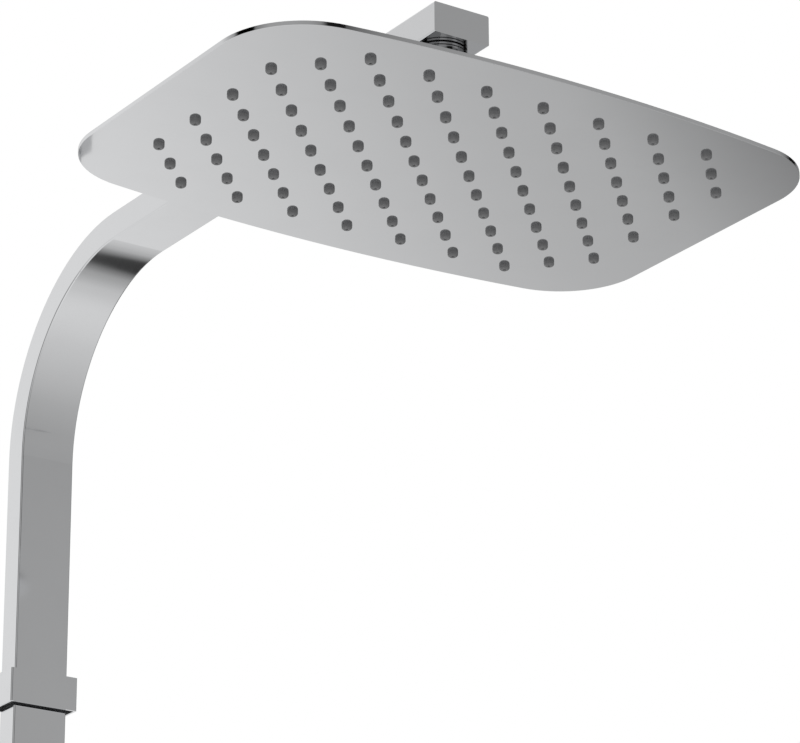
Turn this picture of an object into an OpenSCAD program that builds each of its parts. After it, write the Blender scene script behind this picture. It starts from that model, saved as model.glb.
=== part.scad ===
// Rainfall shower column: an ultra-slim rectangular rain head on a ball joint,
// a flat bar bent over into the arm, and a riser held off the wall by one bracket.
// Origin: centre of the wall screws on the wall's plane. +Z is up, +Y goes into
// the wall and the head hangs out along -Y. All sizes are in millimetres.

/* [Bar] */
// Width of the flat bar, along the wall
bar_w = 30; // [26:0.5:36]
// Depth of the flat bar, away from the wall
bar_d = 15; // [14:0.5:18]
// Wall of the bar's tube
bar_wall = 1.5; // [1.2:0.1:2]
// Radius of the bar's long edges
bar_edge = 0.8; // [0.4:0.1:1]
// Inner radius of the bend between riser and arm
bend_r = 89.5; // [60:0.5:110]
// Gap between the riser's back and the wall
wall_gap = 55; // [50:1:80]
// Height of the arm's underside above the wall screws
arm_z = 358; // [330:1:420]
// Reach from the riser's front to the head's centre line
reach = 362.5; // [300:0.5:420]
// Length of the arm past the head's centre line
tip_past = 17; // [16.5:0.5:30]
// Depth of the riser's foot below the wall screws
foot_drop = 560; // [400:10:800]

/* [Head] */
// Length of the head, across the arm
head_l = 300; // [290:1:340]
// Depth of the head at the middle of its length
head_d = 207.5; // [200:0.5:240]
// Radius of the head's long bowed edges
bow_r = 900; // [800:10:2000]
// Radius of the head's corners
corner_r = 41; // [30:0.5:44]
// Thickness of each of the head's two sheets
sheet_t = 1; // [0.8:0.1:1.5]
// Gap between the head's face and the arm's underside
head_drop = 58; // [56:1:70]
// Height of the water chamber pressed into the back sheet
chamber_h = 4; // [3:0.5:5]
// Inset of the pressed chamber from the head's edge
chamber_inset = 10; // [9:0.5:11]
// Run of the chamber's sloping side
chamber_slope = 4; // [2:0.5:6]

/* [Nozzles] */
// Distance between nozzles in a row
nozzle_pitch = 30; // [28:0.5:31]
// Distance between rows of nozzles
row_pitch = 15.6; // [14:0.1:16]
// Rows of nozzles
row_count = 11; // [7:2:11]
// Nozzles in a long row
long_row = 9; // [5:2:9]
// Diameter of a nozzle
nozzle_d = 5; // [4:0.1:6]
// How far a nozzle stands out of the face
nozzle_out = 2.3; // [1:0.1:3]
// Diameter of a nozzle's jet
jet_d = 1.2; // [0.8:0.1:1.6]

/* [Ball joint] */
// Diameter of the ball
ball_d = 18; // [17:0.5:19]
// Height of the ball's centre above the head's face
ball_h = 19.5; // [19:0.5:22]
// Thickness of the ball's two seats
seat_t = 1.2; // [1:0.1:1.6]
// Bore of the waterway through the ball and its stem
stem_bore = 6; // [4:0.5:7]
// Diameter of the stem's neck
neck_d = 10; // [9:0.5:10.5]
// Diameter of the socket body
socket_d = 27; // [26:0.5:28]
// Diameter of the socket nut
socket_nut_d = 31; // [30:0.5:34]
// Diameter of the notched swivel nut under the arm
swivel_nut_d = 24.5; // [24:0.5:26]
// Notches around the swivel nut
notch_count = 12; // [8:1:16]
// Outer diameter of the outlet nipple's thread
nipple_d = 20.9; // [20:0.1:21]

/* [Collar] */
// Width of the collar
collar_w = 38; // [36:0.5:46]
// Depth of the collar
collar_d = 23; // [21:0.5:30]
// Height of the collar
collar_h = 17.5; // [15:0.5:26]
// Wall of the collar
collar_wall = 1.2; // [1:0.1:2.2]
// Height of the bar's joint, inside the collar, above the wall screws
joint_z = 143.5; // [100:0.5:200]
// Half the length of the spigot that joins the two bars
spigot_half = 30; // [24:1:50]

/* [Wall bracket] */
// Diameter of the wall plate
plate_d = 48; // [46:0.5:52]
// Thickness of the wall plate
plate_t = 4; // [3:0.5:6]
// Distance between the two wall screws
screw_span = 34; // [32:0.5:36]
// Diameter of the holes for the wall screws
screw_hole_d = 5.2; // [4.5:0.1:5.6]
// Diameter of the bracket's stem
stem_d = 22; // [20:0.5:23.5]
// Width of the square wall cover
cover_w = 58; // [56:0.5:66]
// Depth of the wall cover
cover_depth = 16; // [12:0.5:20]
// Height of the bracket's clamp
clamp_h = 30; // [26:1:50]
// Wall of the bracket's clamp
clamp_wall = 2; // [1.5:0.1:2.2]

/* [Inlet] */
// Bore of the union nut's thread
thread_bore_d = 24.12; // [23:0.01:26]
// Length of the union nut's thread
thread_len = 10; // [8:0.5:14]
// Width of the union nut
union_d = 31; // [30:0.5:36]
// Diameter of the inlet tail's neck
tail_d = 15; // [13.5:0.5:16]
// Diameter of the inlet tail's thread, in the foot
tail_thread_d = 10; // [9:0.1:10.4]
// Bore of the inlet tail
tail_bore = 7; // [5:0.5:7.5]

/* [Fits] */
// Radial clearance of a running or sliding fit
run_fit = 0.05; // [0.02:0.01:0.09]
// Clearance around a piece that is dropped in place
drop_fit = 0.1; // [0.05:0.01:0.2]

/* [Hidden] */

$fn = 64;
eps = 0.01;
chrome = [0.78, 0.79, 0.80];
steel = [0.70, 0.71, 0.72];
brass = [0.80, 0.66, 0.36];
black = [0.08, 0.08, 0.09];
silicone = [0.27, 0.28, 0.29];

// The bar's waterway
bore_w = bar_w - 2 * bar_wall;
bore_d = bar_d - 2 * bar_wall;
bore_edge = 0.4;

// Planes and centre lines
riser_back = -wall_gap;
riser_y = riser_back - bar_d / 2;
riser_front = riser_back - bar_d;
bend_y = riser_front - bend_r;
bend_z = arm_z - bend_r;
arm_mid_z = arm_z + bar_d / 2;
head_y = riser_front - reach;
cap_t = 1.5;
tip_y = head_y - tip_past + cap_t;
face_z = arm_z - head_drop;

// Head: the face's lower side is at face_z and the two sheets are welded at the rim
pan_z = face_z + sheet_t + chamber_h;
pan_top = pan_z + sheet_t;
row_half = (row_count - 1) / 2;
nozzle_flange_w = 0.7;
nozzle_flange_d = nozzle_d + 2 * nozzle_flange_w;
nozzle_flange_t = 0.8;
nozzle_taper = 0.7;
shorter_row = 1;
shortest_row = 2;
inlet_hole_d = 12;
// Places halfway between nozzles where the back sheet is pressed down to the face
dimple_d = 5;
dimple_top_d = 11;
dimple_columns = [-3, -2, 2, 3];
dimple_rows = [-3, -1, 1, 3];

// Ball joint, from the ball outwards
ball_z = face_z + ball_h;
ball_r = ball_d / 2;
seat_in_r = ball_r + run_fit;
seat_out_r = seat_in_r + seat_t;
cup_r = seat_out_r + run_fit;
seat_gap = 1.2;
upper_seat_share = 0.55;
lower_seat_share = 0.75;
upper_seat_top = upper_seat_share * ball_r;
lower_seat_cut = lower_seat_share * ball_r;
socket_flange_w = 4.5;
socket_flange_d = socket_d + 2 * socket_flange_w;
socket_flange_t = 1.5;
socket_rim = 0.3;
nut_lid_t = 4;
nut_top = upper_seat_top + nut_lid_t;
nut_skirt = 6;
nut_mouth_r = 8;
nut_mouth_top_r = 9.6;
seal_t = 1.2;
flute_r = 1.4;

// Outlet under the arm: nipple, washer, stem flange and swivel nut, downwards
dust_t = 0.5;
dust_inset = 1;
nipple_len = 14;
nipple_bore = 12;
nut_washer_t = 1.5;
stem_flange_t = 2.4;
nut_lip_t = 2.4;
nut_lip_fit = 0.3;
nipple_end = arm_z - nipple_len;
flange_top = nipple_end - nut_washer_t;
flange_low = flange_top - stem_flange_t;
swivel_low = flange_low - nut_lip_t;
stem_flange_fit = 0.7;
stem_flange_d = nipple_d - 2 * stem_flange_fit;
swivel_rim = 0.9;
swivel_groove = 0.5;
swivel_groove_depth = 0.5;
swivel_band = 1.2;
notch_w = 2;
notch_depth = 0.7;
limiter_t = 5;
limiter_recess = 2;
limiter_hole_d = 1.8;
screen_t = 0.4;
screen_hole_d = 1.4;
block_back = 26;
channel_side = 4;
channel_floor = 2;
channel_r = 1;

// Collar and joint
collar_low = joint_z - collar_h / 2;
collar_lip = 1.5;
liner_recess = 2;
spigot_side = 4.5;
spigot_floor = 3.5;
seal_w = 2.4;
seal_depth = 1.2;
seal_drop = 14;
joint_screw_d = 3;
joint_screw_head_d = 5.4;
joint_screw_at = 4.5;
joint_screw_len = 3.4;
joint_screw_head_h = 1.3;

// Foot and inlet, downwards from the foot
foot_z = -foot_drop;
foot_cap_t = 3;
foot_plug_len = 18;
foot_seal_z = foot_z + foot_plug_len - 2 * seal_w;
tail_thread_len = 12;
lip_t = 4;
tail_neck = 21;
tail_flange_t = 3;
inlet_washer_t = 2;
thread_relief = 0.35;
tail_flange_fit = 0.3;
relief_r = thread_bore_d / 2 + thread_relief;
tail_flange_r = thread_bore_d / 2 - tail_flange_fit;
foot_low = foot_z - foot_cap_t;
flange_bottom = foot_low - tail_neck - tail_flange_t;
washer_bottom = flange_bottom - inlet_washer_t;
thread_gap = 0.5;
lip_gap = 1.5;
union_low = washer_bottom - thread_gap - thread_len;
relief_top = flange_bottom + tail_flange_t + lip_gap;
union_top = relief_top + lip_t;
grip_r = 1.2;
grip_count = 18;

// Wall bracket, forwards from the wall
stem_shell = 4;
boss_d = stem_d - 2 * stem_shell;
boss_len = 12;
grub_at = boss_len / 2;
clamp_back = riser_y + collar_d / 2;
stem_len = -plate_t - clamp_back;
clamp_screw_d = 5;
clamp_screw_len = 12;
clamp_head_d = 9;
clamp_hex_d = 3;
grub_d = 4;
grub_hex_d = 2.2;
grub_sunk = 0.5;
cover_wall = 1.8;
cover_round = 4;
ring_d = 1.8;

// Rounded rectangle, centred
module round_rect(w, d, r) {
    square([w - 2 * r, d], center = true);
    square([w, d - 2 * r], center = true);
    for (x = [-1, 1], y = [-1, 1])
        translate([x * (w / 2 - r), y * (d / 2 - r)]) circle(r);
}

module box_ring(outer_w, outer_d, outer_r, inner_w, inner_d, inner_r) {
    difference() {
        round_rect(outer_w, outer_d, outer_r);
        round_rect(inner_w, inner_d, inner_r);
    }
}

module at_riser(z) {
    translate([0, riser_y, z]) children();
}

module at_head(z) {
    translate([0, head_y, z]) children();
}

// Turned outline drawn in (radius, height)
module turned() {
    rotate_extrude() children();
}

module tube(r_out, r_in, h) {
    difference() {
        cylinder(r = r_out, h = h);
        translate([0, 0, -eps]) cylinder(r = r_in, h = h + 2 * eps);
    }
}

// The bar's path from the joint, round the bend and out to the tip
module bar_path(w, d, r, past = 0) {
    at_riser(joint_z - past) linear_extrude(bend_z - joint_z + past) round_rect(w, d, r);
    translate([0, bend_y, bend_z]) rotate([90, 0, 90])
        rotate_extrude(angle = 90, $fn = 180)
            translate([bend_r + bar_d / 2, 0]) round_rect(d, w, r);
    translate([0, bend_y, arm_mid_z]) rotate([90, 0, 0])
        linear_extrude(bend_y - tip_y + past) round_rect(w, d, r);
}

module upper_arm() {
    color(chrome) difference() {
        bar_path(bar_w, bar_d, bar_edge);
        bar_path(bore_w, bore_d, bore_edge, eps);
        at_head(arm_z - eps) cylinder(d = nipple_d + 2 * drop_fit, h = bar_wall + 2 * eps);
        joint_screw_cut(1);
    }
}

module arm_end_cap() {
    color(chrome) translate([0, tip_y, arm_mid_z]) rotate([90, 0, 0])
        linear_extrude(cap_t) round_rect(bar_w, bar_d, bar_edge);
}

// Brass block in the tip: it turns the water down into the threaded nipple
module outlet_block() {
    color(brass) difference() {
        union() {
            translate([0, head_y + block_back, arm_mid_z]) rotate([90, 0, 0])
                linear_extrude(head_y + block_back - tip_y)
                    round_rect(bore_w - 2 * drop_fit, bore_d - 2 * drop_fit, bore_edge);
            at_head(nipple_end) cylinder(d = nipple_d, h = nipple_len + bar_wall + drop_fit + eps);
        }
        translate([0, head_y + block_back + eps, arm_mid_z]) rotate([90, 0, 0])
            linear_extrude(block_back)
                round_rect(bore_w - 2 * channel_side, bore_d - 2 * channel_floor, channel_r);
        at_head(nipple_end - eps) cylinder(d = nipple_bore, h = arm_mid_z - nipple_end);
    }
}

module flow_limiter() {
    color(black) at_head(nipple_end + limiter_recess) difference() {
        cylinder(d = nipple_bore - 2 * drop_fit, h = limiter_t);
        for (a = [0 : 60 : 300])
            rotate(a) translate([nipple_bore / 4, 0, -eps])
                cylinder(d = limiter_hole_d, h = limiter_t + 1);
    }
}

// Domed steel strainer that stands on the flow limiter
module filter_screen() {
    dome_r = nipple_bore / 2 - drop_fit;
    color(steel) at_head(nipple_end + limiter_recess + limiter_t) difference() {
        turned() difference() {
            intersection() {
                circle(dome_r);
                square(dome_r);
            }
            intersection() {
                circle(dome_r - screen_t);
                translate([-eps, -eps]) square(dome_r);
            }
        }
        for (a = [0 : 45 : 315])
            rotate(a) translate([dome_r / 2, 0, -eps]) cylinder(d = screen_hole_d, h = dome_r);
    }
}

module dust_ring() {
    color(black) at_head(arm_z - dust_t)
        tube(swivel_nut_d / 2 - dust_inset, nipple_d / 2 + drop_fit, dust_t);
}

// Notched nut that draws the ball stem up to the nipple
module swivel_nut() {
    nut_h = arm_z - dust_t - swivel_low;
    groove_low = nut_h - swivel_rim - swivel_groove;
    notch_h = groove_low - swivel_band;
    color(chrome) at_head(swivel_low) difference() {
        turned() difference() {
            square([swivel_nut_d / 2, nut_h]);
            translate([-eps, nut_lip_t]) square([nipple_d / 2 + run_fit + eps, nut_h]);
            translate([-eps, -eps]) square([neck_d / 2 + nut_lip_fit + eps, nut_h]);
            translate([swivel_nut_d / 2 - swivel_groove_depth, groove_low])
                square([swivel_groove_depth + 1, swivel_groove]);
        }
        for (i = [0 : notch_count - 1]) rotate(i * 360 / notch_count)
            translate([swivel_nut_d / 2 - notch_depth, -notch_w / 2, -eps])
                cube([notch_depth + 1, notch_w, notch_h]);
    }
}

module nut_washer() {
    color(black) at_head(flange_top) tube(stem_flange_d / 2, nipple_bore / 2, nut_washer_t);
}

// Hollow ball with its neck and the flange that the swivel nut lifts
module ball_stem() {
    stem_h = flange_top - ball_z;
    color(steel) at_head(ball_z) difference() {
        union() {
            sphere(d = ball_d);
            cylinder(d = neck_d, h = stem_h);
            translate([0, 0, flange_low - ball_z]) cylinder(d = stem_flange_d, h = stem_flange_t);
        }
        translate([0, 0, -ball_d]) cylinder(d = stem_bore, h = stem_h + 2 * ball_d);
        translate([0, 0, -ball_d]) cylinder(r = ball_r, h = ball_d - lower_seat_cut - seat_gap);
    }
}

// Part of a spherical shell around the ball, between two heights from its centre
module seat_shell(low, high) {
    turned() intersection() {
        difference() {
            circle(seat_out_r, $fn = 96);
            circle(seat_in_r, $fn = 96);
        }
        translate([0, low]) square([seat_out_r + 1, high - low]);
    }
}

module upper_seat() {
    color(black) at_head(ball_z) seat_shell(seat_gap, upper_seat_top);
}

module lower_seat() {
    color(black) at_head(ball_z) seat_shell(-lower_seat_cut, -seat_gap);
}

// Cup welded to the back sheet, that holds the ball from below
module socket_body() {
    cup_h = ball_z - pan_top + socket_rim;
    color(chrome) at_head(ball_z) difference() {
        translate([0, 0, pan_top - ball_z]) union() {
            cylinder(d = socket_flange_d, h = socket_flange_t);
            cylinder(d = socket_d, h = cup_h);
        }
        sphere(r = cup_r, $fn = 96);
        cylinder(r = cup_r, h = cup_h);
        translate([0, 0, -ball_h]) cylinder(d = inlet_hole_d, h = ball_h);
    }
}

// Ring nut that closes the socket and leaves a flared mouth for the neck
module socket_nut() {
    nut_r = socket_nut_d / 2;
    color(chrome) at_head(ball_z) difference() {
        turned() difference() {
            translate([0, -nut_skirt]) square([nut_r, nut_skirt + nut_top]);
            circle(cup_r, $fn = 96);
            translate([0, -nut_skirt - eps])
                square([socket_d / 2 + run_fit, nut_skirt + socket_rim + seal_t + eps]);
            polygon([[-eps, 0], [nut_mouth_r, 0], [nut_mouth_r, upper_seat_top],
                     [nut_mouth_top_r, nut_top + eps], [-eps, nut_top + eps]]);
        }
        for (a = [0 : 60 : 300]) rotate(a)
            translate([nut_r, 0, -nut_skirt - eps]) cylinder(r = flute_r, h = nut_skirt + nut_top + 1);
    }
}

module socket_seal() {
    color(black) at_head(ball_z + socket_rim) tube(socket_d / 2, cup_r + drop_fit, seal_t);
}

// Outline of the head, drawn in from its edge: long edges bowed, short edges straight
module head_outline(inset) {
    bow = bow_r - inset;
    corner = corner_r - inset;
    bow_y = bow_r - head_d / 2;
    corner_x = head_l / 2 - corner_r;
    corner_y = sqrt(pow(bow_r - corner_r, 2) - pow(corner_x, 2)) - bow_y;
    tangent_x = corner_x * bow / (bow_r - corner_r);
    intersection() {
        square([2 * tangent_x, head_d], center = true);
        translate([0, -bow_y]) circle(bow, $fn = 360);
        translate([0, bow_y]) circle(bow, $fn = 360);
    }
    square([head_l - 2 * inset, 2 * corner_y], center = true);
    for (x = [-1, 1], y = [-1, 1]) translate([x * corner_x, y * corner_y]) circle(corner);
}

// Calls its children once at each nozzle. Rows alternate by half a pitch and the
// outermost rows lose a nozzle at each end, which rounds the field's corners.
function row_nozzles(row) =
    abs(row) == row_half ? long_row - shortest_row
    : abs(row) % 2 == 1 ? long_row : long_row - shorter_row;

module each_nozzle() {
    for (row = [-row_half : row_half]) {
        count = row_nozzles(row);
        for (i = [0 : count - 1])
            translate([(i - (count - 1) / 2) * nozzle_pitch, row * row_pitch]) children();
    }
}

module face_sheet() {
    color(chrome) at_head(face_z) linear_extrude(sheet_t) difference() {
        head_outline(0);
        each_nozzle() circle(d = nozzle_d + 2 * run_fit, $fn = 32);
    }
}

// Silicone nipple: a flange behind the sheet, a body through it and a tapered tip
module nozzle() {
    turned($fn = 24) polygon([
        [jet_d / 2, -nozzle_out],
        [nozzle_d / 2 - nozzle_taper, -nozzle_out],
        [nozzle_d / 2, nozzle_taper - nozzle_out],
        [nozzle_d / 2, sheet_t],
        [nozzle_flange_d / 2, sheet_t],
        [nozzle_flange_d / 2, sheet_t + nozzle_flange_t],
        [jet_d / 2, sheet_t + nozzle_flange_t]
    ]);
}

module nozzles() {
    color(silicone) at_head(face_z) each_nozzle() nozzle();
}

// Solid of the chamber's inside or outside, with sloping sides
module chamber(low, high, grow) {
    hull() {
        translate([0, 0, low]) linear_extrude(eps) head_outline(chamber_inset - grow, $fn = 64);
        translate([0, 0, high - eps]) linear_extrude(eps)
            head_outline(chamber_inset + chamber_slope - grow, $fn = 64);
    }
}

module each_dimple() {
    for (i = dimple_columns, j = dimple_rows)
        translate([i * nozzle_pitch + nozzle_pitch / 2 * sign(-i), j * row_pitch]) children();
}

// Upper sheet of the head: flat at the welded rim, pressed up into the water
// chamber, and pressed down again in dimples that are welded to the face
module back_sheet() {
    low = face_z + sheet_t;
    color(chrome) difference() {
        union() {
            at_head(low) linear_extrude(sheet_t) head_outline(0);
            at_head(0) chamber(low, pan_top, 0);
        }
        difference() {
            at_head(0) chamber(low - eps, pan_z, -sheet_t);
            at_head(low) each_dimple()
                cylinder(d1 = dimple_d + sheet_t, d2 = dimple_top_d + sheet_t, h = chamber_h + eps);
        }
        at_head(low + sheet_t) each_dimple()
            cylinder(d1 = dimple_d - sheet_t, d2 = dimple_top_d - sheet_t, h = chamber_h + eps);
        at_head(low) cylinder(d = inlet_hole_d, h = chamber_h + 2 * sheet_t);
    }
}

// Countersunk screw that starts flush with z = 0 and points along +Z
module countersunk(d, head_d, head_h, len) {
    cylinder(d = d, h = len);
    cylinder(d1 = head_d, d2 = d, h = head_h);
}

// Places the joint screw above (1) or below (-1) the joint, pointing forwards
module at_joint_screw(side, out = 0) {
    translate([0, riser_back + out, joint_z + side * joint_screw_at]) rotate([90, 0, 0]) children();
}

module joint_screw_cut(side) {
    at_joint_screw(side, eps) countersunk(joint_screw_d + 2 * drop_fit,
        joint_screw_head_d + 2 * drop_fit, joint_screw_head_h, joint_screw_len + drop_fit);
}

module joint_spigot() {
    color(brass) difference() {
        at_riser(joint_z - spigot_half) linear_extrude(2 * spigot_half)
            round_rect(bore_w - 2 * run_fit, bore_d - 2 * run_fit, bore_edge);
        at_riser(joint_z - spigot_half - eps) linear_extrude(2 * spigot_half + 2 * eps)
            round_rect(bore_w - 2 * spigot_side, bore_d - 2 * spigot_floor, channel_r);
        for (drop = [seal_drop, -seal_drop]) at_riser(joint_z - drop - seal_w / 2)
            linear_extrude(seal_w) seal_ring(drop_fit);
        joint_screw_cut(1);
        joint_screw_cut(-1);
    }
}

module seal_ring(past) {
    box_ring(bore_w + 2 * past, bore_d + 2 * past, bore_edge,
             bore_w - 2 * seal_depth, bore_d - 2 * seal_depth, bore_edge);
}

module spigot_seals() {
    color(black) for (drop = [seal_drop, -seal_drop])
        at_riser(joint_z - drop - seal_w / 2) linear_extrude(seal_w) seal_ring(0);
}

module joint_screws() {
    color(steel) for (side = [-1, 1]) difference() {
        at_joint_screw(side)
            countersunk(joint_screw_d, joint_screw_head_d, joint_screw_head_h, joint_screw_len);
        at_joint_screw(side, eps) cylinder(d = joint_screw_d / 2, h = bar_wall / 2, $fn = 6);
    }
}

// Sleeve closed by a lip at its top and open underneath, where its liner shows
module collar_sleeve() {
    in_w = collar_w - 2 * collar_wall;
    in_d = collar_d - 2 * collar_wall;
    color(chrome) at_riser(collar_low) {
        linear_extrude(collar_h - collar_lip)
            box_ring(collar_w, collar_d, bar_edge, in_w, in_d, bore_edge);
        translate([0, 0, collar_h - collar_lip]) linear_extrude(collar_lip)
            box_ring(collar_w, collar_d, bar_edge,
                     bar_w + 4 * run_fit, bar_d + 4 * run_fit, bar_edge);
    }
}

module collar_liner() {
    color(black) at_riser(collar_low + liner_recess)
        linear_extrude(collar_h - collar_lip - liner_recess)
            box_ring(collar_w - 2 * collar_wall, collar_d - 2 * collar_wall, bore_edge,
                     bar_w + 2 * run_fit, bar_d + 2 * run_fit, bar_edge);
}

module lower_riser() {
    color(chrome) difference() {
        at_riser(foot_z) linear_extrude(joint_z - foot_z)
            box_ring(bar_w, bar_d, bar_edge, bore_w, bore_d, bore_edge);
        joint_screw_cut(-1);
    }
}

// Plug and cap that close the riser, tapped for the inlet tail
module riser_foot() {
    color(chrome) difference() {
        union() {
            at_riser(foot_low) linear_extrude(foot_cap_t) round_rect(bar_w, bar_d, bar_edge);
            at_riser(foot_z) linear_extrude(foot_plug_len)
                round_rect(bore_w - 2 * run_fit, bore_d - 2 * run_fit, bore_edge);
        }
        at_riser(foot_low - eps) cylinder(d = tail_bore, h = foot_cap_t + foot_plug_len + 2 * eps);
        at_riser(foot_low - eps)
            cylinder(d = tail_thread_d + 2 * run_fit, h = tail_thread_len + 2 * eps);
        at_riser(foot_seal_z) linear_extrude(seal_w) seal_ring(drop_fit);
    }
}

module foot_seal() {
    color(black) at_riser(foot_seal_z) linear_extrude(seal_w) seal_ring(0);
}

// Tail screwed into the foot: a neck for the nut to run on, and a sealing flange
module inlet_tail() {
    neck_h = tail_flange_t + tail_neck;
    color(steel) at_riser(flange_bottom) difference() {
        union() {
            cylinder(r = tail_flange_r, h = tail_flange_t);
            cylinder(d = tail_d, h = neck_h);
            cylinder(d = tail_thread_d, h = neck_h + tail_thread_len);
        }
        translate([0, 0, -eps]) cylinder(d = tail_bore, h = neck_h + tail_thread_len + 2 * eps);
    }
}

// Nut with a grooved grip, a lip that runs on the tail and a thread at its mouth
module union_nut() {
    union_h = union_top - union_low;
    color(chrome) at_riser(union_low) difference() {
        turned() difference() {
            square([union_d / 2, union_h]);
            translate([-eps, -eps]) square([thread_bore_d / 2 + eps, thread_len + 2 * eps]);
            translate([-eps, thread_len])
                square([relief_r + eps, relief_top - union_low - thread_len]);
            translate([-eps, 0]) square([tail_d / 2 + run_fit + eps, union_h + eps]);
        }
        for (i = [0 : grip_count - 1]) rotate(i * 360 / grip_count)
            translate([union_d / 2 + grip_r / 2, 0, lip_t])
                cylinder(r = grip_r, h = union_h - 2 * lip_t);
    }
}

module inlet_washer() {
    color(black) at_riser(washer_bottom) tube(tail_flange_r, tail_bore / 2, inlet_washer_t);
}

// Disc screwed to the wall, with the boss that carries the bracket's stem
module wall_plate() {
    color(steel) rotate([90, 0, 0]) difference() {
        union() {
            cylinder(d = plate_d, h = plate_t);
            cylinder(d = boss_d, h = plate_t + boss_len);
        }
        for (side = [-1, 1]) translate([0, side * screw_span / 2, -eps])
            cylinder(d = screw_hole_d, h = plate_t + 2 * eps);
    }
}

module bracket_stem() {
    color(chrome) translate([0, -plate_t, 0]) rotate([90, 0, 0]) difference() {
        cylinder(d = stem_d, h = stem_len);
        translate([0, 0, -eps]) cylinder(d = boss_d + 2 * run_fit, h = boss_len + drop_fit);
        translate([0, 0, stem_len - clamp_screw_len])
            cylinder(d = clamp_screw_d + 2 * run_fit, h = clamp_screw_len + eps);
        translate([0, 0, grub_at]) rotate([90, 0, 0])
            cylinder(d = grub_d + 2 * run_fit, h = stem_d);
    }
}

// Set screw under the stem that locks it on the boss
module stem_grub_screw() {
    grub_len = (stem_d - boss_d) / 2 - grub_sunk;
    color(steel) translate([0, -plate_t - grub_at, -boss_d / 2 - grub_len]) difference() {
        cylinder(d = grub_d, h = grub_len);
        translate([0, 0, -eps]) cylinder(d = grub_hex_d, h = grub_len / 2, $fn = 6);
    }
}

// Square cup over the wall plate, free to slide along the stem
module wall_cover() {
    color(chrome) rotate([90, 0, 0]) difference() {
        linear_extrude(cover_depth) round_rect(cover_w, cover_w, cover_round);
        translate([0, 0, -eps]) linear_extrude(cover_depth - cover_wall + eps)
            round_rect(cover_w - 2 * cover_wall, cover_w - 2 * cover_wall, cover_round - cover_wall);
        cylinder(d = stem_d + 2 * run_fit, h = cover_depth + 1);
    }
}

// Friction ring inside the cover's front, around the stem
module cover_ring() {
    color(black) translate([0, -cover_depth + cover_wall, 0]) rotate([-90, 0, 0])
        tube(stem_d / 2 + ring_d, stem_d / 2 + run_fit, ring_d);
}

module bracket_clamp() {
    in_w = collar_w - 2 * clamp_wall;
    in_d = collar_d - 2 * clamp_wall;
    color(chrome) difference() {
        at_riser(-clamp_h / 2) linear_extrude(clamp_h)
            box_ring(collar_w, collar_d, bar_edge, in_w, in_d, bore_edge);
        at_clamp_screw(eps) countersunk(clamp_screw_d + 2 * drop_fit, clamp_head_d + 2 * drop_fit,
                                        clamp_wall, 2 * clamp_wall);
        clamp_grub_cut();
    }
}

// Places the clamp's screw, pointing back from the clamp's inside to the wall
module at_clamp_screw(out = 0) {
    translate([0, clamp_back - clamp_wall - out, 0]) rotate([-90, 0, 0]) children();
}

// Screw from inside the clamp back into the stem
module clamp_screw() {
    color(steel) difference() {
        at_clamp_screw() countersunk(clamp_screw_d, clamp_head_d, clamp_wall, clamp_screw_len);
        at_clamp_screw(eps) cylinder(d = clamp_hex_d, h = clamp_wall, $fn = 6);
    }
}

module clamp_liner() {
    color(black) difference() {
        at_riser(-clamp_h / 2 + cap_t) linear_extrude(clamp_h - 2 * cap_t)
            box_ring(collar_w - 2 * clamp_wall, collar_d - 2 * clamp_wall, bore_edge,
                     bar_w, bar_d, bar_edge);
        clamp_grub_cut();
    }
}

// The two set screws that pass through the clamp's sides and press on the riser
module clamp_grub_cut() {
    for (side = [-1, 1]) translate([side * (collar_w / 2 + 1), riser_y, 0])
        rotate([0, -side * 90, 0]) cylinder(d = grub_d + 2 * run_fit, h = 1 + (collar_w - bar_w) / 2);
}

module clamp_grub_screws() {
    grub_len = (collar_w - bar_w) / 2;
    color(steel) for (side = [-1, 1]) translate([side * collar_w / 2, riser_y, 0])
        rotate([0, -side * 90, 0]) difference() {
            cylinder(d = grub_d, h = grub_len);
            translate([0, 0, -eps]) cylinder(d = grub_hex_d, h = grub_len / 2, $fn = 6);
        }
}

upper_arm();
arm_end_cap();
outlet_block();
flow_limiter();
filter_screen();
dust_ring();
swivel_nut();
nut_washer();
ball_stem();
upper_seat();
lower_seat();
socket_body();
socket_nut();
socket_seal();
back_sheet();
face_sheet();
nozzles();
joint_spigot();
spigot_seals();
joint_screws();
collar_sleeve();
collar_liner();
lower_riser();
riser_foot();
foot_seal();
inlet_tail();
union_nut();
inlet_washer();
wall_plate();
bracket_stem();
stem_grub_screw();
wall_cover();
cover_ring();
bracket_clamp();
clamp_liner();
clamp_screw();
clamp_grub_screws();
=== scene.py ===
"""Looks of a rainfall shower column: its finishes, fine pieces and studio."""

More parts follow.
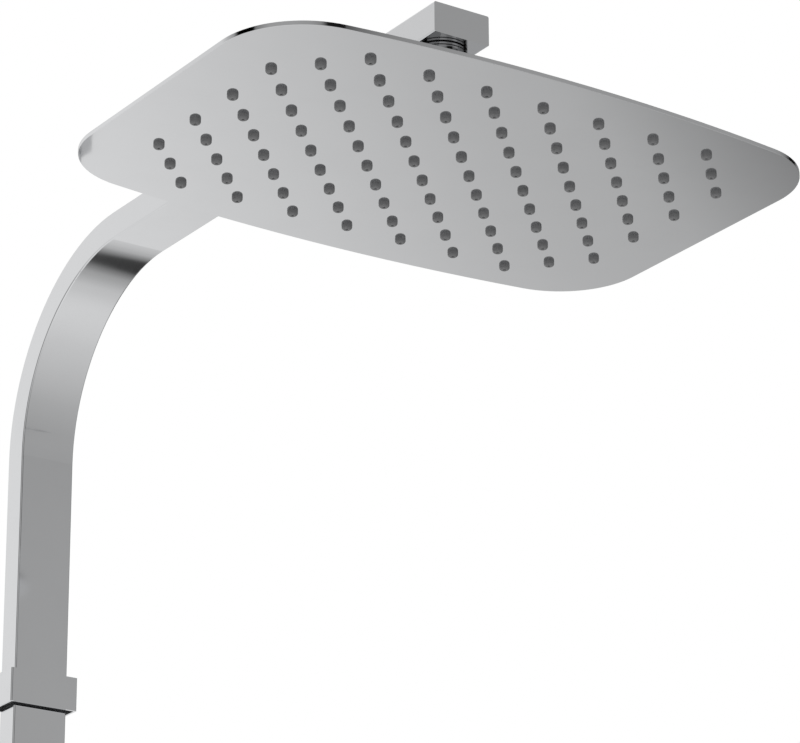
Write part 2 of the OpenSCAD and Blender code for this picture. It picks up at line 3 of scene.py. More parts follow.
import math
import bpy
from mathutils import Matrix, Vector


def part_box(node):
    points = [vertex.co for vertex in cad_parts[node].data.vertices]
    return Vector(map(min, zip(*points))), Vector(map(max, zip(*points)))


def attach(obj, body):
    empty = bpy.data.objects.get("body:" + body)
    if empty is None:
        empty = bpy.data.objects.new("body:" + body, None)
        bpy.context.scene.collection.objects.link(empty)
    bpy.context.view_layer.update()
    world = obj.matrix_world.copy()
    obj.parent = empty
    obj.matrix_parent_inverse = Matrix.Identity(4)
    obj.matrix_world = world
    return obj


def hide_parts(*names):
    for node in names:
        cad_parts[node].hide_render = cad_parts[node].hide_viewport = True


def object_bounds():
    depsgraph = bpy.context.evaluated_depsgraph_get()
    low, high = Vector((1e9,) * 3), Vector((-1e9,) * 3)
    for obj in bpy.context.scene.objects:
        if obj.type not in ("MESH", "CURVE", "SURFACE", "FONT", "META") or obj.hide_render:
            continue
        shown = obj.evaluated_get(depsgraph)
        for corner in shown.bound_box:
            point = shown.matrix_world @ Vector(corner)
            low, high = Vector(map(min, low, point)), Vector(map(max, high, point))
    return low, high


bl_info = {
    "name": "Rainfall Shower Column",
    "version": (1, 0, 0),
    "blender": (4, 5, 0),
    "location": "View3D > Sidebar > Shower",
    "description": "Finishes, fine pieces and studio for the packed shower column",
    "category": "Object",
}

import bmesh
import bpy
from mathutils import Vector

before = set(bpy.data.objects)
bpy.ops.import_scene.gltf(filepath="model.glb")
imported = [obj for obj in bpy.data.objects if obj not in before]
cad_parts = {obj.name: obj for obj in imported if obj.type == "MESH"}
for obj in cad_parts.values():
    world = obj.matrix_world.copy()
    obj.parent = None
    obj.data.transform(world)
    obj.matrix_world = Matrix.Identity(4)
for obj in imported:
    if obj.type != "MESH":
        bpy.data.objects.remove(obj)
CAD_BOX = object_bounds()

MM = 0.001
FACE_LOW, FACE_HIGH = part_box("face_sheet")
HEAD_CENTRE = (FACE_LOW + FACE_HIGH) / 2
HEAD_HALF = (FACE_HIGH - FACE_LOW) / 2
NOZZLE_LOW, NOZZLE_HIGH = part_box("nozzles")
NUT_LOW, NUT_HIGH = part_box("swivel_nut")
NUT_CENTRE = (NUT_LOW + NUT_HIGH) / 2

# An edge stays crisp where it turns by more than this, in degrees.
SHEET_CORNER = 30
TURNED_CORNER = 50


# ---------------------------------------------------------------- node graphs


class Wire:
    """A node's output socket that takes part in Python sums."""

    def __init__(self, graph, socket):
        self.graph = graph
        self.socket = socket

    def math(self, operation, *values):
        sockets = dict(enumerate((self, *values)))
        return self.graph.node("ShaderNodeMath", {"operation": operation}, sockets)

    def __add__(self, other):
        return self.math("ADD", other)

    def __sub__(self, other):
        return self.math("SUBTRACT", other)

    def __rsub__(self, other):
        return self.graph.node(
            "ShaderNodeMath", {"operation": "SUBTRACT"}, {0: other, 1: self}
        )

    def __mul__(self, other):
        return self.math("MULTIPLY", other)

    def __truediv__(self, other):
        return self.math("DIVIDE", other)

    def between(self, low, high):
        """0 below low, 1 above high, and smooth between them."""
        return self.graph.node(
            "ShaderNodeMapRange",
            {"interpolation_type": "SMOOTHSTEP"},
            {"Value": self, "From Min": low, "From Max": high},
        )

    def spread(self, low, high):
        """A value from 0 to 1 spread over low to high."""
        return self * (high - low) + low


class Graph:
    """A node tree that is filled from Python."""

    def __init__(self, tree):
        self.tree = tree
        tree.nodes.clear()

    def add(self, kind, settings=None, sockets=None):
        """A new node with its settings first and then its inputs' values or links."""
        made = self.tree.nodes.new(kind)
        for name, value in (settings or {}).items():
            if name == "stops":
                self.fill_ramp(made.color_ramp, value)
            else:
                setattr(made, name, value)
        for key, value in (sockets or {}).items():
            socket = made.inputs[key]
            if isinstance(value, Wire):
                self.tree.links.new(value.socket, socket)
            else:
                socket.default_value = self.fitted(value, socket.default_value)
        return made

    def node(self, kind, settings=None, sockets=None, output=0):
        """The same, and gives back one output as a Wire."""
        return Wire(self, self.add(kind, settings, sockets).outputs[output])

    @staticmethod
    def fitted(value, held):
        """The value as the socket holds it: a colour of three parts gets full alpha."""
        is_colour = hasattr(held, "__len__") and len(held) == 4
        return (*value, 1.0) if is_colour and len(value) == 3 else value

    @staticmethod
    def fill_ramp(ramp, stops):
        """Sets a colour ramp's stops from (place, grey) pairs."""
        while len(ramp.elements) > 1:
            ramp.elements.remove(ramp.elements[-1])
        for i, (place, grey) in enumerate(stops):
            element = ramp.elements[0] if i == 0 else ramp.elements.new(place)
            element.position = place
            element.color = (grey, grey, grey, 1.0)


# ------------------------------------------------------------------ materials


def new_material(name):
    material = bpy.data.materials.new(name)
    material.use_nodes = True
    return material, Graph(material.node_tree)


def finish_material(graph, shader):
    graph.add("ShaderNodeOutputMaterial", None, {"Surface": shader})


def object_place(graph):
    """Object coordinates, in metres."""
    return graph.node("ShaderNodeTexCoord", output="Object")


def noise(graph, place, scale, detail=2.0, roughness=0.5):
    return graph.node(
        "ShaderNodeTexNoise",
        None,
        {
            "Vector": place,
            "Scale": scale,
            "Detail": detail,
            "Roughness": roughness,
        },
        "Fac",
    )


def stretched(graph, place, scale):
    """Coordinates scaled differently along each axis, for a drawn or turned grain."""
    return graph.node("ShaderNodeMapping", None, {"Vector": place, "Scale": scale})


def mix_colour(graph, share, first, second):
    """Inputs 6 and 7 and output 2 are a Mix node's colours."""
    sockets = {0: share, 6: first, 7: second}
    return graph.node("ShaderNodeMix", {"data_type": "RGBA"}, sockets, 2)


def times(colour, share):
    return [channel * share for channel in colour]


def bump(graph, height, strength, distance):
    return graph.node(
        "ShaderNodeBump",
        None,
        {"Height": height, "Strength": strength, "Distance": distance},
        "Normal",
    )


# The painted shade around the swivel nut, which stands in for its dark reflections, is
# full up to the first distance from the nut's centre and ends at the second.
NUT_SHADE_FULL = 17 * MM
NUT_SHADE_END = 24 * MM


def polished_metal(name, colour, rough, clouding, wave, nut_shade):
    """Plated metal: a mirror with a faint film and the slow waves left by polishing.

    Painted shade darkens it around the swivel nut, in place of the dark reflections there.
    """
    material, graph = new_material(name)
    place = object_place(graph)
    film = noise(graph, place, 38.0, detail=3.0, roughness=0.55).between(0.35, 0.75)
    specks = noise(graph, place, 900.0, roughness=0.6).between(0.66, 0.8)
    waves = noise(graph, place, 14.0, detail=1.0)
    tone = mix_colour(graph, film, colour, times(colour, 1 - clouding))
    # Painted shade: the colour darkens near the swivel nut, in place of dark reflections.
    if nut_shade:
        reach = graph.node(
            "ShaderNodeVectorMath",
            {"operation": "DISTANCE"},
            {0: place, 1: NUT_CENTRE},
            "Value",
        )
        clear = reach.between(NUT_SHADE_FULL, NUT_SHADE_END)
        tone = mix_colour(graph, clear, times(colour, 1 - nut_shade), tone)
    shader = graph.node(
        "ShaderNodeBsdfPrincipled",
        None,
        {
            "Base Color": tone,
            "Metallic": 1.0,
            "Roughness": film.spread(rough, rough * 1.6) + specks * 0.02,
            "Normal": bump(graph, waves, wave, 1 * MM),
        },
    )
    finish_material(graph, shader)
    return material


def satin_metal(name, colour, rough, grain_scale):
    """Turned or drawn metal with a fine grain."""
    material, graph = new_material(name)
    place = object_place(graph)
    along = stretched(graph, place, grain_scale)
    grain = noise(graph, along, 1.0, detail=4.0, roughness=0.6)
    patch = noise(graph, place, 60.0)
    shader = graph.node(
        "ShaderNodeBsdfPrincipled",
        None,
        {
            "Base Color": mix_colour(graph, patch, colour, times(colour, 0.86)),
            "Metallic": 1.0,
            "Roughness": grain.spread(rough * 0.75, rough * 1.25),
            "Normal": bump(graph, grain, 0.08, 0.4 * MM),
        },
    )
    finish_material(graph, shader)
    return material


def soft_polymer(name, colour, rough, pore_scale, lighter):
    """Rubber, silicone or moulded plastic with a fine matt skin."""
    material, graph = new_material(name)
    place = object_place(graph)
    bloom = noise(graph, place, 160.0, detail=3.0, roughness=0.6).between(0.3, 0.7)
    pores = noise(graph, place, pore_scale, roughness=0.6)
    shader = graph.node(
        "ShaderNodeBsdfPrincipled",
        None,
        {
            "Base Color": mix_colour(graph, bloom, colour, times(colour, lighter)),
            "Roughness": bloom.spread(rough * 0.85, rough * 1.1),
            "Normal": bump(graph, pores, 0.12, 0.1 * MM),
        },
    )
    finish_material(graph, shader)
    return material


# Each chrome slot: its roughness against the polish, clouding, waves and painted nut
# shade.
CHROMES = {
    "chrome_bar": (1.5, 0.012, 0.010, 0.0),
    "chrome_head": (1.0, 0.012, 0.006, 0.0),
    # The fittings' last value darkens them near the swivel nut as painted shade.
    "chrome_fittings": (1.2, 0.020, 0.012, 0.55),
}
# Each bare metal slot: its colour, roughness and grain along X, Y and Z.
METALS = {
    "steel": ((0.60, 0.59, 0.57), 0.28, (260, 260, 1800)),
    "brass": ((0.72, 0.52, 0.24), 0.30, (400, 400, 1200)),
}
# Each black slot: its colour, roughness, pore scale and how much lighter its bloom is.
BLACKS = {
    "black_rubber": ((0.018, 0.018, 0.019), 0.62, 3000, 1.5),
    "black_plastic": ((0.022, 0.022, 0.024), 0.42, 4200, 1.3),
}
SILICONE_SKIN = (0.46, 3600, 1.18)
FINISHES = {}


def make_finish(slot):
    looks = bpy.context.scene.shower_finish
    if slot in CHROMES:
        coarser, clouding, wave, nut_shade = CHROMES[slot]
        rough = looks.polish * coarser
        return polished_metal(slot, tuple(looks.chrome), rough, clouding, wave, nut_shade)
    if slot in METALS:
        return satin_metal(slot, *METALS[slot])
    if slot in BLACKS:
        return soft_polymer(slot, *BLACKS[slot])
    if slot == "silicone":
        return soft_polymer(slot, tuple(looks.silicone), *SILICONE_SKIN)
    raise RuntimeError(f"no finish is made for slot {slot}")


def finish_for(slot):
    """The material of one of the record's slots, made once."""
    if slot not in FINISHES:
        FINISHES[slot] = make_finish(slot)
    return FINISHES[slot]


# ---------------------------------------------------------------- mesh making


def mesh_object(name, bm):
    """A new object in the scene from a bmesh, which is freed."""
    mesh = bpy.data.meshes.new(name)
    bm.to_mesh(mesh)
    bm.free()
    made = bpy.data.objects.new(name, mesh)
    bpy.context.scene.collection.objects.link(made)
    return made


def revolve(profile, segments):
    """A closed solid of revolution about Z from (radius, height) points in mm."""
    bm = bmesh.new()
    rings = []
    for radius, height in profile:
        ring = []
        for i in range(segments):
            angle = 2 * math.pi * i / segments
            x, y = radius * math.cos(angle), radius * math.sin(angle)
            ring.append(bm.verts.new((x * MM, y * MM, height * MM)))
        rings.append(ring)
    for low, high in zip(rings, rings[1:] + rings[:1]):
        for i in range(segments):
            j = (i + 1) % segments
            bm.faces.new((low[i], low[j], high[j], high[i]))
    bmesh.ops.recalc_face_normals(bm, faces=bm.faces)
    return bm


def shade_by_angle(made, degrees):
    """Smooth shading with edges sharper than the angle left crisp."""
    mesh = made.data
    for polygon in mesh.polygons:
        polygon.use_smooth = True
    bm = bmesh.new()
    bm.from_mesh(mesh)
    for edge in bm.edges:
        if len(edge.link_faces) == 2:
            edge.smooth = edge.calc_face_angle(0.0) < math.radians(degrees)
    bm.to_mesh(mesh)
    bm.free()


def dress(made, body, slot, *replaced):
    """Gives a piece the material of its slot and its body, and hides the parts it stands
    for.
    """
    made.data.materials.clear()
    made.data.materials.append(finish_for(slot))
    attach(made, body)
    if replaced:
        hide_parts(*replaced)


def tree_with(name, inputs):
    """A new geometry tree with named inputs and one geometry output."""
    tree = bpy.data.node_groups.new(name, "GeometryNodeTree")
    for label, kind in inputs:
        tree.interface.new_socket(label, in_out="INPUT", socket_type=kind)
    tree.interface.new_socket(
        "Geometry", in_out="OUTPUT", socket_type="NodeSocketGeometry"
    )
    return Graph(tree)


def evaluated_mesh(made):
    """A plain mesh of the object as its modifiers leave it."""
    bpy.context.view_layer.update()
    depsgraph = bpy.context.evaluated_depsgraph_get()
    return bpy.data.meshes.new_from_object(
        made.evaluated_get(depsgraph), depsgraph=depsgraph
    )


def grown(name, graph, values):
    """Runs a geometry tree with its inputs set and gives a plain mesh object."""
    carrier = bpy.data.objects.new(name + "_seed", bpy.data.meshes.new(name + "_seed"))
    bpy.context.scene.collection.objects.link(carrier)
    modifier = carrier.modifiers.new("grow", "NODES")
    modifier.node_group = graph.tree
    sockets = {
        item.name: item.identifier
        for item in graph.tree.interface.items_tree
        if item.item_type == "SOCKET" and item.in_out == "INPUT"
    }
    for label, value in values.items():
        modifier[sockets[label]] = value
    carrier.update_tag()
    mesh = evaluated_mesh(carrier)
    if not mesh.polygons:
        raise RuntimeError(f"{name}: the geometry tree made no faces")
    bpy.data.objects.remove(carrier)
    mesh.name = name
    made = bpy.data.objects.new(name, mesh)
    bpy.context.scene.collection.objects.link(made)
    return made


# ------------------------------------------------------------------- settings


class ShowerFinish(bpy.types.PropertyGroup):
    """Colours and polish."""

    chrome: bpy.props.FloatVectorProperty(
        name="Chrome",
        description="Colour of the chrome plating",
        subtype="COLOR",
        size=3,
        min=0.0,
        max=1.0,
        default=(0.855, 0.862, 0.874),
    )
    polish: bpy.props.FloatProperty(
        name="Polish",
        description="Roughness of the chrome plating",
        subtype="FACTOR",
        min=0.0,
        max=1.0,
        default=0.035,
    )
    silicone: bpy.props.FloatVectorProperty(
        name="Silicone",
        description="Colour of the nozzles",
        subtype="COLOR",
        size=3,
        min=0.0,
        max=1.0,
        default=(0.205, 0.206, 0.210),
    )


class ShowerNozzles(bpy.types.PropertyGroup):
    """The field of nozzles in the head's face."""

    pitch: bpy.props.FloatProperty(
        name="Pitch",
        description="Distance between nozzles in a row",
        subtype="DISTANCE",
        unit="LENGTH",
        default=0.030,
    )
    row_pitch: bpy.props.FloatProperty(
        name="Row pitch",
        description="Distance between rows",
        subtype="DISTANCE",
        unit="LENGTH",
        default=0.0156,
    )
    rows: bpy.props.IntProperty(
        name="Rows", description="Rows of nozzles", default=11, min=3
    )
    long_row: bpy.props.IntProperty(
        name="Long row", description="Nozzles in a long row", default=9, min=3
    )
    diameter: bpy.props.FloatProperty(
        name="Diameter",
        description="Diameter of a nozzle",
        subtype="DISTANCE",
        unit="LENGTH",
        default=0.0050,
    )
    jet: bpy.props.FloatProperty(
        name="Jet",
        description="Diameter of a nozzle's jet hole",
        subtype="DISTANCE",
        unit="LENGTH",
        default=0.0012,
    )


class ShowerRims(bpy.types.PropertyGroup):
    """Rounded sheet edges and the ring in the swivel nut."""

    sheet: bpy.props.FloatProperty(
        name="Sheet",
        description="Thickness of the back sheet at the welded rim",
        subtype="DISTANCE",
        unit="LENGTH",
        default=0.001,
    )
    face_round: bpy.props.FloatProperty(
        name="Face rounding",
        description="Rounding of the face sheet's outer edge",
        subtype="DISTANCE",
        unit="LENGTH",
        default=0.00015,
    )
    back_round: bpy.props.FloatProperty(
        name="Back rounding",
        description="Rounding of the back sheet's outer edge",
        subtype="DISTANCE",
        unit="LENGTH",
        default=0.00015,
    )
    ring_section: bpy.props.FloatProperty(
        name="Ring section",
        description="Thickness of the rubber ring",
        subtype="DISTANCE",
        unit="LENGTH",
        default=0.00044,
    )
    ring_drop: bpy.props.FloatProperty(
        name="Ring drop",
        description="Distance from the nut's top down to the ring",
        subtype="DISTANCE",
        unit="LENGTH",
        default=0.00115,
    )


class ShowerStudio(bpy.types.PropertyGroup):
    """Camera, floor and light."""

    camera_place: bpy.props.FloatVectorProperty(
        name="Camera",
        description="Place of the camera",
        subtype="TRANSLATION",
        unit="LENGTH",
        size=3,
        default=(-0.90442, -1.73960, -0.40214),
    )
    camera_turn: bpy.props.FloatVectorProperty(
        name="Camera turn",
        description="Rotation of the camera",
        subtype="EULER",
        unit="ROTATION",
        size=3,
        default=(1.934238, 0.003743, -0.591836),
    )
    lens: bpy.props.FloatProperty(
        name="Lens",
        description="Focal length in millimetres on a 36 mm sensor",
        default=173.3117,
        min=1.0,
    )
    floor_drop: bpy.props.FloatProperty(
        name="Floor drop",
        description="Distance from the inlet down to the floor",
        subtype="DISTANCE",
        unit="LENGTH",
        default=0.06,
    )
    floor_colour: bpy.props.FloatVectorProperty(
        name="Floor colour",
        description="Colour of the floor",
        subtype="COLOR",
        size=3,
        min=0.0,
        max=1.0,
        default=(0.86, 0.86, 0.86),
    )
    floor_glow: bpy.props.FloatProperty(
        name="Floor glow",
        description="How much paler the floor looks to the camera",
        subtype="FACTOR",
        min=0.0,
        max=1.0,
        default=0.45,
    )
    lamp_power: bpy.props.FloatProperty(
        name="Lamp",
        description="Power of the soft lamp overhead",
        unit="POWER",
        default=9.0,
        min=0.0,
    )


# ------------------------------------------------------------------ operators


# A nozzle's outline in mm, from the jet outwards and then in from the side, each with
# its height above the tip.
MOUTH = ((0.0, 0.25), (0.06, 0.10), (0.22, 0.02), (0.36, 0.06), (0.50, 0.08))
CROWN = (
    (1.12, 0.03),
    (0.98, 0.0),
    (0.78, 0.08),
    (0.50, 0.28),
    (0.26, 0.52),
    (0.10, 0.80),
    (0.02, 1.05),
    (0.0, 1.30),
)
FLANGE_STEP = 0.7
FLANGE_CHAMFER = 0.1
NOZZLE_SIDES = 24
# Counts that differ by less than this are the same.
SAME_COUNT = 0.1


def nozzle_profile(diameter, jet_diameter):
    """Half a nozzle's section, with height 0 at the front of the face sheet."""
    front = FACE_LOW.z
    tip = (NOZZLE_LOW.z - front) / MM
    back = (NOZZLE_HIGH.z - front) / MM
    sheet = (FACE_HIGH.z - front) / MM
    radius = diameter / MM / 2
    jet = jet_diameter / MM / 2
    flange = radius + FLANGE_STEP
    return [
        (jet, back),
        *((jet + out, tip + up) for out, up in MOUTH),
        *((radius - inward, tip + up) for inward, up in CROWN),
        (radius, sheet),
        (flange - FLANGE_CHAMFER, sheet),
        (flange, sheet + FLANGE_CHAMFER),
        (flange, back - FLANGE_CHAMFER),
        (flange - FLANGE_CHAMFER, back),
    ]


def spare_points(column, away, short, rows, long_row):
    """Marks the last point of a short row, and both ends of the outermost rows."""
    last = column.math("COMPARE", long_row - 1, SAME_COUNT)
    first = column.math("COMPARE", 0.0, SAME_COUNT)
    outer = away.math("COMPARE", (rows - 1) / 2, SAME_COUNT)
    return (short * last + outer * (first + last)).math("GREATER_THAN", 0.5)


def nozzle_tree():
    """Staggered rows of one shape, as many and as far apart as the inputs say."""
    graph = tree_with(
        "nozzle_field",
        [
            ("Shape", "NodeSocketObject"),
            ("Pitch", "NodeSocketFloat"),
            ("Row pitch", "NodeSocketFloat"),
            ("Rows", "NodeSocketInt"),
            ("Long row", "NodeSocketInt"),
            ("Centre", "NodeSocketVector"),
            ("Material", "NodeSocketMaterial"),
        ],
    )
    given = graph.add("NodeGroupInput")
    read = {s.name: Wire(graph, s) for s in given.outputs if s.name}
    long_row, rows = read["Long row"], read["Rows"]
    points = graph.node("GeometryNodePoints", None, {"Count": rows * long_row})
    index = graph.node("GeometryNodeInputIndex")
    column = index.math("MODULO", long_row)
    row = (index / long_row).math("FLOOR") - (rows - 1) / 2
    away = row.math("ABSOLUTE")
    short = 1 - away.math("MODULO", 2.0)
    spare = spare_points(column, away, short, rows, long_row)
    across = (column - (long_row - 1) / 2 + short / 2) * read["Pitch"]
    local = graph.node(
        "ShaderNodeCombineXYZ", None, {"X": across, "Y": row * read["Row pitch"]}
    )
    place = graph.node(
        "ShaderNodeVectorMath", {"operation": "ADD"}, {0: local, 1: read["Centre"]}
    )
    laid = graph.node(
        "GeometryNodeSetPosition", None, {"Geometry": points, "Position": place}
    )
    kept = graph.node(
        "GeometryNodeDeleteGeometry", None, {"Geometry": laid, "Selection": spare}
    )
    nipple = graph.node(
        "GeometryNodeObjectInfo", None, {"Object": read["Shape"]}, "Geometry"
    )
    copies = graph.node(
        "GeometryNodeInstanceOnPoints", None, {"Points": kept, "Instance": nipple}
    )
    whole = graph.node("GeometryNodeRealizeInstances", None, {"Geometry": copies})
    dressed = graph.node(
        "GeometryNodeSetMaterial",
        None,
        {"Geometry": whole, "Material": read["Material"]},
    )
    graph.add("NodeGroupOutput", None, {"Geometry": dressed})
    return graph


class SHOWER_OT_nozzles(bpy.types.Operator):
    """Grow the silicone nozzles through the head's face"""

    bl_idname = "shower.nozzles"
    bl_label = "Nozzles"

    def execute(self, context):
        field = context.scene.shower_nozzles
        profile = nozzle_profile(field.diameter, field.jet)
        shape = mesh_object("nozzle_shape", revolve(profile, NOZZLE_SIDES))
        shade_by_angle(shape, TURNED_CORNER)
        made = grown(
            "nozzle_nipples",
            nozzle_tree(),
            {
                "Shape": shape,
                "Pitch": field.pitch,
                "Row pitch": field.row_pitch,
                "Rows": field.rows,
                "Long row": field.long_row,
                "Centre": (HEAD_CENTRE.x, HEAD_CENTRE.y, FACE_LOW.z),
                "Material": finish_for("silicone"),
            },
        )
        bpy.data.objects.remove(shape)
        dress(made, "head", "silicone", "nozzles")
        return {"FINISHED"}


# The outline lies beyond either of these shares of the head's half length and depth.
RIM_ALONG = 0.82
RIM_ACROSS = 0.80
SAME_POINT = 0.001 * MM
SAME_LEVEL = 0.02 * MM
RIM_STEPS = 4


def on_outline(edge, level):
    """Whether an edge is a sharp one on the head's outline, at a height."""
    for vert in edge.verts:
        away = vert.co - HEAD_CENTRE
        along = abs(away.x) > HEAD_HALF.x * RIM_ALONG
        across = abs(away.y) > HEAD_HALF.y * RIM_ACROSS
        if not (along or across) or abs(vert.co.z - level) >= SAME_LEVEL:
            return False
    return not edge.smooth


class SHOWER_OT_rims(bpy.types.Operator):
    """Round the outer edges of the head's two sheets"""

    bl_idname = "shower.rims"
    bl_label = "Rims"

    def execute(self, context):
        looks = context.scene.shower_rims
        self.soften("face_sheet", FACE_LOW.z, looks.face_round)
        self.soften("back_sheet", FACE_HIGH.z + looks.sheet, looks.back_round)
        return {"FINISHED"}

    def soften(self, name, level, width):
        """A copy of a sheet whose outline at one level is rounded."""
        bm = bmesh.new()
        bm.from_mesh(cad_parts[name].data)
        bmesh.ops.remove_doubles(bm, verts=bm.verts, dist=SAME_POINT)
        weight = bm.edges.layers.float.new("bevel_weight_edge")
        found = 0
        for edge in bm.edges:
            turn = edge.calc_face_angle(0.0)
            gentle = turn <= math.radians(SHEET_CORNER)
            edge.smooth = gentle or len(edge.link_faces) != 2
            if on_outline(edge, level):
                edge[weight] = 1.0
                found += 1
        if not found:
            raise RuntimeError(f"{name} has no outline to round")
        for face in bm.faces:
            face.smooth = True
        made = mesh_object(name + "_soft", bm)
        bevel = made.modifiers.new("rim", "BEVEL")
        bevel.limit_method = "WEIGHT"
        bevel.width = width
        bevel.segments = RIM_STEPS
        bevel.harden_normals = True
        mesh = evaluated_mesh(made)
        made.modifiers.remove(bevel)
        made.data = mesh
        dress(made, "head", "chrome_head", name)


# The ring's gap to the nut's outside in mm, the turn between its section's corners in
# degrees, and its sides around.
RING_INSET = 0.03
RING_TURN = 36
RING_SIDES = 96


class SHOWER_OT_ring(bpy.types.Operator):
    """Lay the rubber ring in the swivel nut's groove"""

    bl_idname = "shower.ring"
    bl_label = "Nut ring"

    def execute(self, context):
        looks = context.scene.shower_rims
        section = looks.ring_section / MM / 2
        around = (NUT_HIGH.x - NUT_LOW.x) / 2 / MM - section - RING_INSET
        height = (NUT_HIGH.z - looks.ring_drop) / MM
        profile = []
        for degrees in range(0, 360, RING_TURN):
            turn = math.radians(degrees)
            profile.append(
                (around + section * math.cos(turn), height + section * math.sin(turn))
            )
        bm = revolve(profile, RING_SIDES)
        bmesh.ops.translate(bm, verts=bm.verts, vec=(NUT_CENTRE.x, NUT_CENTRE.y, 0))
        made = mesh_object("nut_ring", bm)
        shade_by_angle(made, TURNED_CORNER)
        dress(made, "column", "black_rubber")
        return {"FINISHED"}


class SHOWER_OT_finishes(bpy.types.Operator):
    """Give every carried-over part the finish of its slot"""

    bl_idname = "shower.finishes"
    bl_label = "Finishes"

    def execute(self, context):
        for name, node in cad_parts.items():
            if not node.material_slots:
                raise RuntimeError(f"{name} has no material slot")
            for held in node.material_slots:
                slot = held.material.name.split(".")[0]
                held.material = finish_for(slot)
        return {"FINISHED"}


# Camera in mm and m, then the floor and the lamp in m.
SENSOR_WIDTH = 36.0
CLIP = (0.05, 50.0)
FLOOR_HALF = 20.0
LAMP_PLACE = Vector((-0.9, -1.3, 2.2))
LAMP_AIM = Vector((0, -0.25, 0))
LAMP_SIZE = 1.6

# The studio's walls as light levels by azimuth, in degrees from +Y towards +X. The
# gaps between them are dark.
LEFT_WALL = (
    (-175, 0.01),
    (-167, 0.25),
    (-156, 0.32),
    (-134, 0.36),
    (-105, 0.36),
    (-88, 0.22),
    (-84, 0.0),
)
BACK_WALL = (
    (-61, 0.0),
    (-54, 0.36),
    (-43, 0.5),
    (-28, 0.77),
    (-12, 0.77),
    (12, 0.69),
    (36, 0.38),
    (70, 0.21),
    (78, 0.005),
)
RIGHT_WALL = (
    (93, 0.005),
    (104, 0.21),
    (115, 0.29),
    (130, 0.34),
    (151, 0.33),
    (158, 0.26),
    (162, 0.16),
    (165, 0.01),
)
WALLS = LEFT_WALL + BACK_WALL + RIGHT_WALL
# The ground's level, and how much it gains towards +Y and loses towards +X.
GROUND_LEVEL = 0.81
GROUND_GAIN = 0.03
GROUND_LOSS = 0.025
# How far the ground takes over from the walls, by the sine of the elevation.
GROUND_SHARE = (
    (-1, 1),
    (-0.75, 0.65),
    (-0.5, 0.46),
    (-0.25, 0.28),
    (0.05, 0.16),
    (0.2, 0.145),
    (0.3, 0.1),
    (0.4, 0),
)
# Round cards: azimuth, elevation, and the level by the angle from the centre.
DARK_CARD = (
    57.6,
    -34.8,
    (
        (0, 0.5),
        (10, 0.46),
        (14.5, 0.06),
        (17.2, 0.06),
        (18.2, 0.28),
        (20.5, 0.56),
        (22, 0.6),
        (27, 0.82),
        (30, 0.89),
        (36, 1),
    ),
)
BRIGHT_CARD = (32, -22, ((0, 0.29), (15, 0.21), (28, 0)))
CARD_REACH = 90


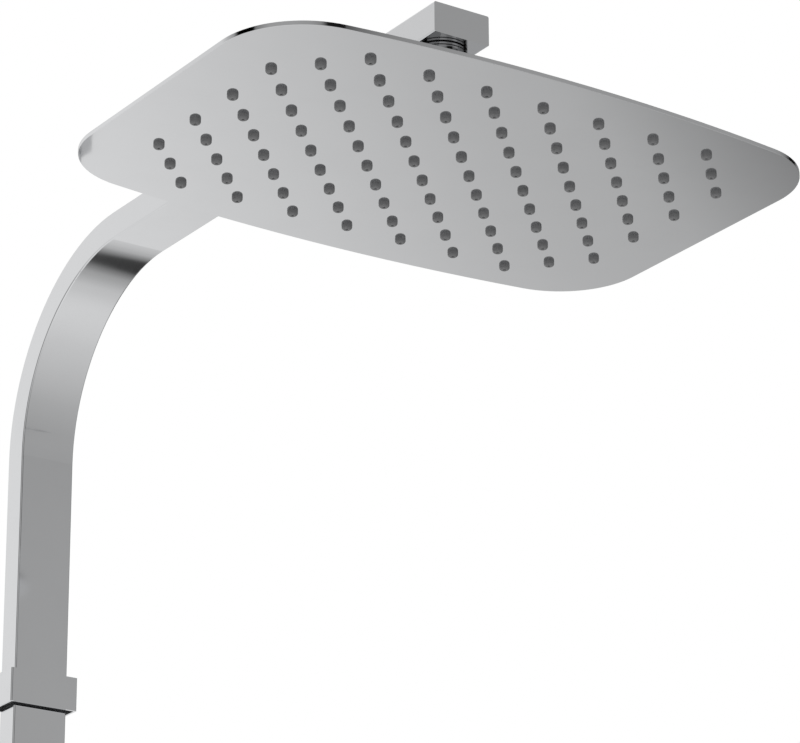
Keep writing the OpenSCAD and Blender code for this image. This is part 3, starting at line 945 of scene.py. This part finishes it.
class SHOWER_OT_stage(bpy.types.Operator):
    """Set up the camera, the floor, the surroundings and the lamp"""

    bl_idname = "shower.stage"
    bl_label = "Studio"

    def execute(self, context):
        studio = context.scene.shower_studio
        self.make_camera(context, studio)
        self.make_floor(studio)
        self.make_surroundings(context)
        self.make_lamp(context, studio)
        context.scene.view_settings.view_transform = "Standard"
        return {"FINISHED"}

    def make_camera(self, context, studio):
        data = bpy.data.cameras.new("studio_camera")
        data.sensor_width = SENSOR_WIDTH
        data.lens = studio.lens
        data.clip_start, data.clip_end = CLIP
        camera = bpy.data.objects.new("studio_camera", data)
        camera.location = studio.camera_place
        camera.rotation_euler = studio.camera_turn
        context.scene.collection.objects.link(camera)
        context.scene.camera = camera

    def make_floor(self, studio):
        """A matt floor that only shows from above."""
        height = CAD_BOX[0].z - studio.floor_drop
        bm = bmesh.new()
        bmesh.ops.create_grid(bm, x_segments=1, y_segments=1, size=FLOOR_HALF)
        bmesh.ops.translate(bm, verts=bm.verts, vec=(0, 0, height))
        floor = mesh_object("studio_floor", bm)
        material, graph = new_material("studio_floor")
        mottle = noise(graph, object_place(graph), 3.0, detail=3.0)
        pale = tuple(studio.floor_colour)
        tone = mix_colour(graph, mottle, pale, times(pale, 0.985))
        seen = graph.node("ShaderNodeLightPath", output="Is Camera Ray")
        glow = studio.floor_glow
        shader = graph.node(
            "ShaderNodeBsdfPrincipled",
            None,
            {
                "Base Color": tone,
                "Roughness": 0.9,
                "Specular IOR Level": 0.1,
                "Emission Color": mix_colour(graph, seen, (0, 0, 0), [glow] * 3),
                "Emission Strength": 1.0,
            },
        )
        below = graph.node("ShaderNodeNewGeometry", output="Backfacing")
        clear = graph.node("ShaderNodeBsdfTransparent")
        one_sided = graph.node(
            "ShaderNodeMixShader", None, {0: below, 1: shader, 2: clear}
        )
        finish_material(graph, one_sided)
        floor.data.materials.append(material)
        floor.visible_glossy = False
        floor.visible_diffuse = False

    def make_surroundings(self, context):
        """White for the camera, and a graded studio for everything else."""
        world = bpy.data.worlds.new("studio")
        world.use_nodes = True
        context.scene.world = world
        graph = Graph(world.node_tree)
        way = graph.node("ShaderNodeTexCoord", output="Generated")
        split = graph.add("ShaderNodeSeparateXYZ", None, {0: way})
        x, y, z = (Wire(graph, split.outputs[i]) for i in range(3))
        azimuth = x.math("ARCTAN2", y) * (0.5 / math.pi) + 0.5
        walls = self.ramp(
            graph,
            azimuth,
            [(degrees / 360 + 0.5, level) for degrees, level in WALLS],
        )
        ground = y * GROUND_GAIN - x * GROUND_LOSS + GROUND_LEVEL
        share = self.ramp(
            graph,
            z * 0.5 + 0.5,
            [((sine + 1) / 2, level) for sine, level in GROUND_SHARE],
        )
        room = graph.node(
            "ShaderNodeMix", None, {"Factor": share, "A": walls, "B": ground}
        )
        shade = self.card(graph, way, *DARK_CARD)
        glow = self.card(graph, way, *BRIGHT_CARD)
        light = (room + glow) * shade
        seen = graph.node("ShaderNodeLightPath", output="Is Camera Ray")
        shown = mix_colour(graph, seen, light, (1.0, 1.0, 1.0))
        sky = graph.node("ShaderNodeBackground", None, {"Color": shown})
        graph.add("ShaderNodeOutputWorld", None, {"Surface": sky})

    @staticmethod
    def ramp(graph, value, stops):
        return graph.node("ShaderNodeValToRGB", {"stops": stops}, {"Fac": value})

    def card(self, graph, way, azimuth, elevation, stops):
        """A round card, graded by the angle from its centre."""
        a, e = math.radians(azimuth), math.radians(elevation)
        centre = (math.sin(a) * math.cos(e), math.cos(a) * math.cos(e), math.sin(e))
        near = graph.node(
            "ShaderNodeVectorMath",
            {"operation": "DOT_PRODUCT"},
            {0: way, 1: centre},
            "Value",
        )
        angle = near.math("ARCCOSINE") / math.radians(CARD_REACH)
        spread = [(degrees / CARD_REACH, level) for degrees, level in stops]
        return self.ramp(graph, angle, spread)

    def make_lamp(self, context, studio):
        data = bpy.data.lights.new("studio_lamp", "AREA")
        data.shape = "DISK"
        data.size = LAMP_SIZE
        data.energy = studio.lamp_power
        lamp = bpy.data.objects.new("studio_lamp", data)
        lamp.location = LAMP_PLACE
        aim = LAMP_AIM - LAMP_PLACE
        lamp.rotation_euler = aim.to_track_quat("-Z", "Y").to_euler()
        lamp.visible_glossy = False
        context.scene.collection.objects.link(lamp)


class SHOWER_PT_panel(bpy.types.Panel):
    """Every step of the shower column's looks"""

    bl_idname = "SHOWER_PT_panel"
    bl_label = "Shower Column"
    bl_space_type = "VIEW_3D"
    bl_region_type = "UI"
    bl_category = "Shower"

    def draw(self, context):
        scene = context.scene
        for held in GROUPS:
            group = getattr(scene, held)
            box = self.layout.box()
            for name in group.__annotations__:
                box.prop(group, name)
        for step in STEPS:
            self.layout.operator(step.bl_idname)


STEPS = (
    SHOWER_OT_finishes,
    SHOWER_OT_nozzles,
    SHOWER_OT_rims,
    SHOWER_OT_ring,
    SHOWER_OT_stage,
)
GROUPS = {
    "shower_finish": ShowerFinish,
    "shower_nozzles": ShowerNozzles,
    "shower_rims": ShowerRims,
    "shower_studio": ShowerStudio,
}


def register():
    for name, group in GROUPS.items():
        bpy.utils.register_class(group)
        setattr(bpy.types.Scene, name, bpy.props.PointerProperty(type=group))
    for step in STEPS:
        bpy.utils.register_class(step)
    bpy.utils.register_class(SHOWER_PT_panel)


def unregister():
    bpy.utils.unregister_class(SHOWER_PT_panel)
    for step in reversed(STEPS):
        bpy.utils.unregister_class(step)
    for name, group in reversed(GROUPS.items()):
        delattr(bpy.types.Scene, name)
        bpy.utils.unregister_class(group)


def main():
    register()
    bpy.ops.shower.finishes()
    bpy.ops.shower.nozzles()
    bpy.ops.shower.rims()
    bpy.ops.shower.ring()
    bpy.ops.shower.stage()


if __name__ == "__main__":
    main()
